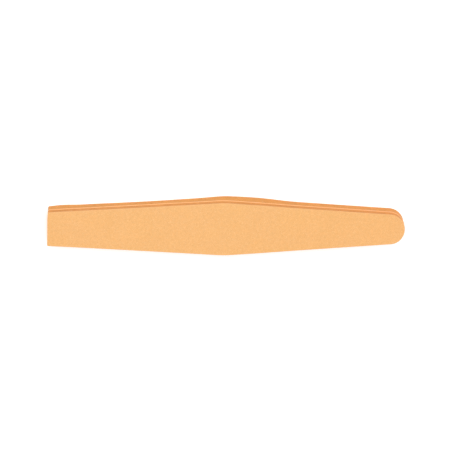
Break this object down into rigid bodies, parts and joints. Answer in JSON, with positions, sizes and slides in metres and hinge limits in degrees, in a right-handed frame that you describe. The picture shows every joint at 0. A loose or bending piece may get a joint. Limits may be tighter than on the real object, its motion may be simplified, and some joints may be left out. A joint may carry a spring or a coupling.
{
  "type": "sanding stick",
  "caption": "Flat foam-cored sanding stick with an abrasive sheet on both faces, a square butt, a wide waist and a round nose.",
  "frame": {"origin": "middle of the stick's rear abrasive face, on the surface it lies on", "axes": "+X along the stick from the square butt to the round nose, +Y across its width, +Z through its thickness from the rear abrasive face up to the front one"},
  "size_m": [0.178, 0.0278, 0.012],
  "materials": {
    "grit": "matte",
    "backing_paper": "matte",
    "sheet_adhesive": "satin",
    "foam": "matte",
    "core_adhesive": "satin",
    "core_plastic": "satin"
  },
  "bodies": {
    "root": {"front_grit_coat": "grit", "front_backing_paper": "backing_paper", "front_sheet_adhesive": "sheet_adhesive", "front_foam_pad": "foam", "front_core_adhesive": "core_adhesive", "core_strip": "core_plastic", "rear_core_adhesive": "core_adhesive", "rear_foam_pad": "foam", "rear_sheet_adhesive": "sheet_adhesive", "rear_backing_paper": "backing_paper", "rear_grit_coat": "grit"}
  },
  "joints": []
}
